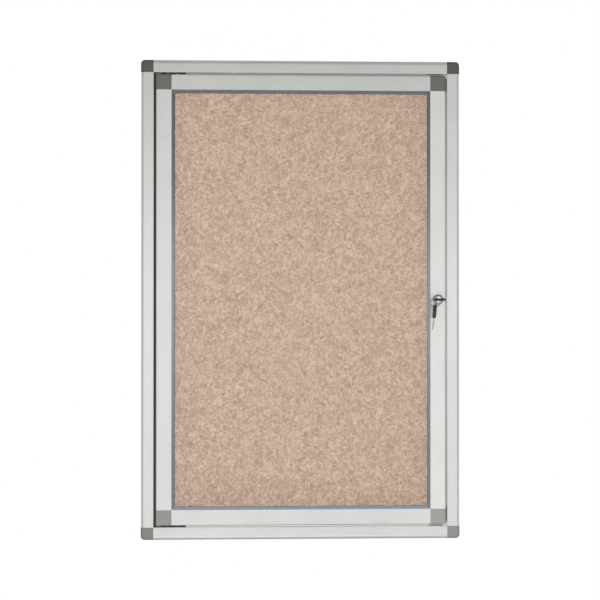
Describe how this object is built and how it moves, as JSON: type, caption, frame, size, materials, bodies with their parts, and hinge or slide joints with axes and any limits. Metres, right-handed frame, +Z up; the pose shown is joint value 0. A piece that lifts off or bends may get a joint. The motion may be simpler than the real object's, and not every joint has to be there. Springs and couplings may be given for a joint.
{
  "type": "notice board display case",
  "caption": "Shallow wall-hung notice board case: an aluminium frame round a felt pin board, with a glazed door on pivot hinges that a cam lock holds shut.",
  "frame": {"origin": "centre of the pattern of wall-fixing holes, on the wall plane", "axes": "+X to the right as the reader sees it, +Y back into the wall, +Z up"},
  "size_m": [0.6, 0.08, 0.9],
  "materials": {
    "anodised_aluminium": "satin silver anodised extrusion",
    "corner_plastic": "fine-textured mid grey moulding",
    "pane": "clear and polished",
    "glazing_seal": "blue-grey soft extrusion, matt",
    "felt": "beige needled felt",
    "board_core": "raw softboard",
    "zinc_sheet": "galvanised, dull",
    "black_steel": "black stoved paint",
    "bright_steel": "bright zinc plate",
    "lock_chrome": "polished chrome plate",
    "key_plastic": "black moulding",
    "key_metal": "bright nickel plate",
    "nylon": "natural nylon",
    "buffer_rubber": "soft black rubber"
  },
  "bodies": {
    "case": {"case_top_rail": "anodised_aluminium", "case_bottom_rail": "anodised_aluminium", "case_hinge_stile": "anodised_aluminium", "case_lock_stile": "anodised_aluminium", "case_corner_top_left": "corner_plastic", "case_corner_top_right": "corner_plastic", "case_corner_bottom_right": "corner_plastic", "case_corner_bottom_left": "corner_plastic", "felt_facing": "felt", "pin_board": "board_core", "back_sheet": "zinc_sheet", "wall_fixing_sleeves": "nylon", "door_buffers": "buffer_rubber", "hinge_gap_strip": "buffer_rubber", "top_hinge_plate": "black_steel", "bottom_hinge_plate": "black_steel", "hinge_pins": "bright_steel", "hinge_screws": "bright_steel"},
    "door": {"door_top_rail": "anodised_aluminium", "door_bottom_rail": "anodised_aluminium", "door_hinge_stile": "anodised_aluminium", "door_lock_stile": "anodised_aluminium", "door_corner_top_left": "corner_plastic", "door_corner_top_right": "corner_plastic", "door_corner_bottom_right": "corner_plastic", "door_corner_bottom_left": "corner_plastic", "glazing_pane": "pane", "glazing_seal_top": "glazing_seal", "glazing_seal_right": "glazing_seal", "glazing_seal_bottom": "glazing_seal", "glazing_seal_left": "glazing_seal", "top_hinge_bush": "nylon", "bottom_hinge_bush": "nylon", "lock_body": "lock_chrome", "lock_nut": "bright_steel"},
    "lock_plug": {"lock_plug": "lock_chrome", "lock_cam": "bright_steel", "cam_screw": "bright_steel"},
    "key": {"key_head": "key_plastic", "key_blade": "key_metal"},
    "key_ring": {"key_ring": "key_metal"},
    "spare_key": {"spare_key_head": "key_plastic", "spare_key_blade": "key_metal"}
  },
  "joints": [
    {"name": "door_hinge", "type": "hinge", "parent": "case", "child": "door", "pos_m": [-0.2658, -0.03725, 0], "axis": [0, 0, -1], "range_deg": [0, 105]},
    {"name": "lock_turn", "type": "hinge", "parent": "door", "child": "lock_plug", "pos_m": [0.2589, -0.045, 0], "axis": [0, -1, 0], "range_deg": [0, 90]},
    {"name": "key_withdraw", "type": "slide", "parent": "lock_plug", "child": "key", "axis": [0, -1, 0], "range_m": [0, 0.026]},
    {"name": "ring_hang", "type": "hinge", "parent": "key", "child": "key_ring", "pos_m": [0.2499, -0.069, 0], "axis": [0, -1, 0], "range_deg": [-90, 0]},
    {"name": "spare_key_swing", "type": "hinge", "parent": "key_ring", "child": "spare_key", "pos_m": [0.2499, -0.069, -0.01403], "axis": [0.9962, 0, -0.0872], "range_deg": [-45, 25]}
  ],
  "couplings": [
    {"joint": "ring_hang", "follows": "lock_turn", "ratio": -1}
  ]
}
